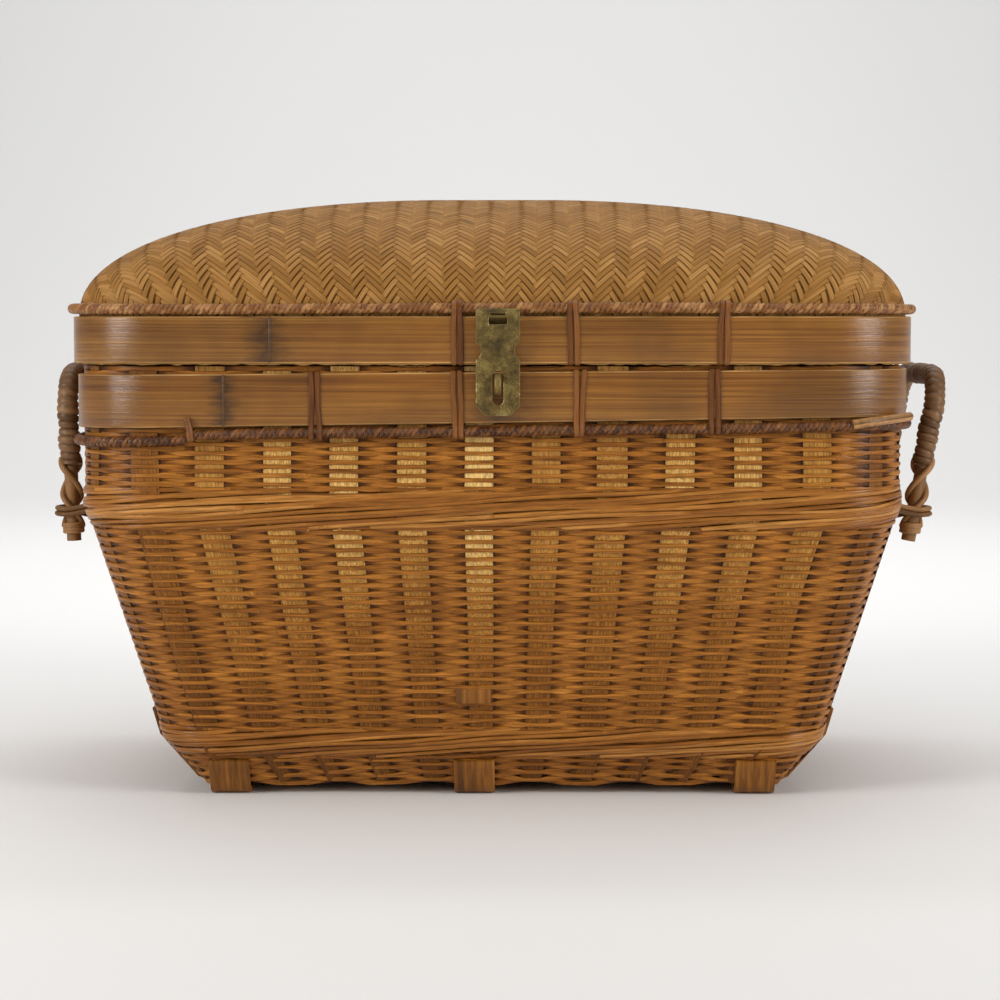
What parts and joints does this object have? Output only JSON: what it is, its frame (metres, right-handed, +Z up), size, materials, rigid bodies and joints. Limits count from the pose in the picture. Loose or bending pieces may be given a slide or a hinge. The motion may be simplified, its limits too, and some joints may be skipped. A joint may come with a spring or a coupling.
{
  "type": "laundry hamper with lid",
  "caption": "Woven bamboo laundry hamper with tapering walls, a hinged domed lid in twill weave, a hasp and staple in front and a swinging loop handle on each end",
  "frame": {"origin": "middle of the floor contact: the underside of the middle runner, under the basket's centre", "axes": "+X to the right along the long side, +Y to the back where the lid is hinged, +Z up; the hasp is in front, towards -Y"},
  "size_m": [0.61, 0.4019, 0.4021],
  "materials": {
    "aged_brass": "aged, satin",
    "dark_cane": "satin",
    "rattan": "satin",
    "bamboo_band": "glossy, varnished",
    "bamboo_mat": "satin",
    "pale_bamboo": "matte",
    "bamboo_slat": "satin",
    "bamboo_weavers": "matte"
  },
  "bodies": {
    "basket": {"floor_mat": "pale_bamboo", "lower_weave": "bamboo_weavers", "lower_belt": "bamboo_weavers", "main_weave": "bamboo_weavers", "upper_belt": "bamboo_weavers", "upper_weave": "bamboo_weavers", "wall_stakes": "pale_bamboo", "body_outer_band": "bamboo_band", "body_inner_band": "bamboo_band", "body_rim_cord": "dark_cane", "body_lashings": "dark_cane", "left_runner": "bamboo_slat", "middle_runner": "bamboo_slat", "right_runner": "bamboo_slat", "front_cross_runner": "bamboo_slat", "back_cross_runner": "bamboo_slat", "left_handle_ties": "dark_cane", "right_handle_ties": "dark_cane", "hasp_staple": "aged_brass", "left_hinge_body_leaf": "aged_brass", "right_hinge_body_leaf": "aged_brass", "hinge_pins": "aged_brass", "body_nails": "aged_brass"},
    "lid": {"lid_dome": "bamboo_mat", "lid_outer_band": "bamboo_band", "lid_inner_band": "bamboo_band", "lid_rim_cord": "dark_cane", "lid_lashings": "dark_cane", "left_hinge_lid_leaf": "aged_brass", "right_hinge_lid_leaf": "aged_brass", "hasp_leaf": "aged_brass", "hasp_pin": "aged_brass", "lid_nails": "aged_brass"},
    "hasp": {"hasp_plate": "aged_brass"},
    "left_handle": {"left_handle_rod": "rattan", "left_handle_grip": "dark_cane", "left_handle_collars": "dark_cane"},
    "right_handle": {"right_handle_rod": "rattan", "right_handle_grip": "dark_cane", "right_handle_collars": "dark_cane"}
  },
  "joints": [
    {"name": "lid_open", "type": "hinge", "parent": "basket", "child": "lid", "pos_m": [0, 0.193, 0.28775], "axis": [-1, 0, 0], "range_deg": [0, 105]},
    {"name": "hasp_swing", "type": "hinge", "parent": "lid", "child": "hasp", "pos_m": [0.0045, -0.1973, 0.3235], "axis": [-1, 0, 0], "range_deg": [0, 150]},
    {"name": "left_handle_swing", "type": "hinge", "parent": "basket", "child": "left_handle", "pos_m": [-0.2872, 0, 0.19], "axis": [0, -1, 0], "range_deg": [-2, 35]},
    {"name": "right_handle_swing", "type": "hinge", "parent": "basket", "child": "right_handle", "pos_m": [0.2872, 0, 0.19], "axis": [0, 1, 0], "range_deg": [-10, 27]}
  ]
}
